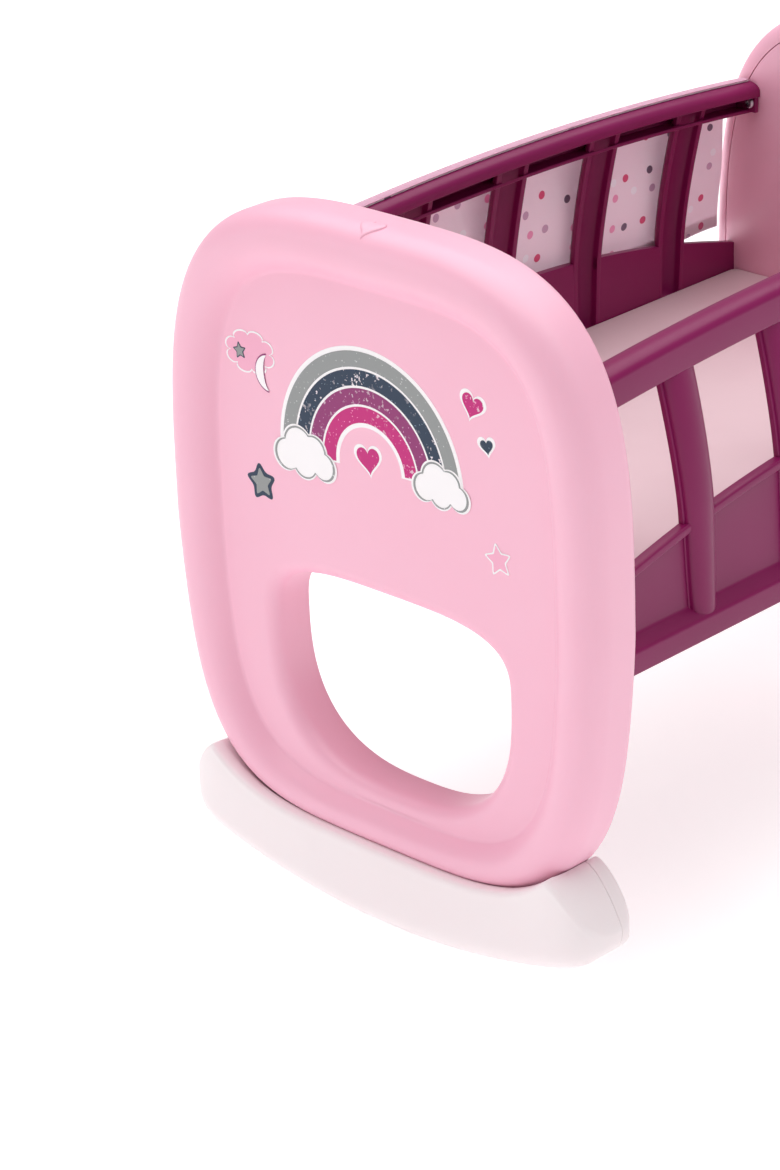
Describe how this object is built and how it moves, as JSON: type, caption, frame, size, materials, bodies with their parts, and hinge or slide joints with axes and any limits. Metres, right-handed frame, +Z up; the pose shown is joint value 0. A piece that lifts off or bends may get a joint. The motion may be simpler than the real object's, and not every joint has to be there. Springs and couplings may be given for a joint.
{
  "type": "doll cradle",
  "caption": "Toy doll cradle with oval moulded end panels and hand holes, curved rockers, arched side frames with upright bars, a flat bed base and a cloth over the far rail.",
  "frame": {"origin": "on the floor under the middle of the bed", "axes": "+Z up, +Y from the foot end to the head end, X across the cradle between the side frames"},
  "size_m": [0.32, 0.536, 0.4084],
  "materials": {
    "cradle_pink": "satin moulded plastic, pale pink",
    "rocker_white": "satin moulded plastic, pinkish white",
    "frame_plum": "semi-gloss moulded plastic, plum",
    "base_cream": "matte cream sheet",
    "cloth_pale_pink": "thin woven cotton, pale pink with scattered dots",
    "screw_steel": "zinc-plated steel"
  },
  "bodies": {
    "root": {"foot_panel_shell": "cradle_pink", "foot_panel_cover": "cradle_pink", "foot_rocker_front": "rocker_white", "foot_rocker_rear": "rocker_white", "foot_cover_screw_upper_a": "screw_steel", "foot_cover_screw_upper_b": "screw_steel", "foot_cover_screw_lower_a": "screw_steel", "foot_cover_screw_lower_b": "screw_steel", "foot_frame_screw_rail_a": "screw_steel", "foot_frame_screw_rail_b": "screw_steel", "foot_frame_screw_apron_a": "screw_steel", "foot_frame_screw_apron_b": "screw_steel", "foot_rocker_screw_a": "screw_steel", "foot_rocker_screw_b": "screw_steel", "foot_rocker_screw_c": "screw_steel", "foot_mount_screw_a": "screw_steel", "foot_mount_screw_b": "screw_steel", "head_panel_shell": "cradle_pink", "head_panel_cover": "cradle_pink", "head_rocker_front": "rocker_white", "head_rocker_rear": "rocker_white", "head_cover_screw_upper_a": "screw_steel", "head_cover_screw_upper_b": "screw_steel", "head_cover_screw_lower_a": "screw_steel", "head_cover_screw_lower_b": "screw_steel", "head_frame_screw_rail_a": "screw_steel", "head_frame_screw_rail_b": "screw_steel", "head_frame_screw_apron_a": "screw_steel", "head_frame_screw_apron_b": "screw_steel", "head_rocker_screw_a": "screw_steel", "head_rocker_screw_b": "screw_steel", "head_rocker_screw_c": "screw_steel", "head_mount_screw_a": "screw_steel", "head_mount_screw_b": "screw_steel", "right_side_frame": "frame_plum", "left_side_frame": "frame_plum", "bed_base": "base_cream", "hanging_cloth": "cloth_pale_pink"}
  },
  "joints": []
}
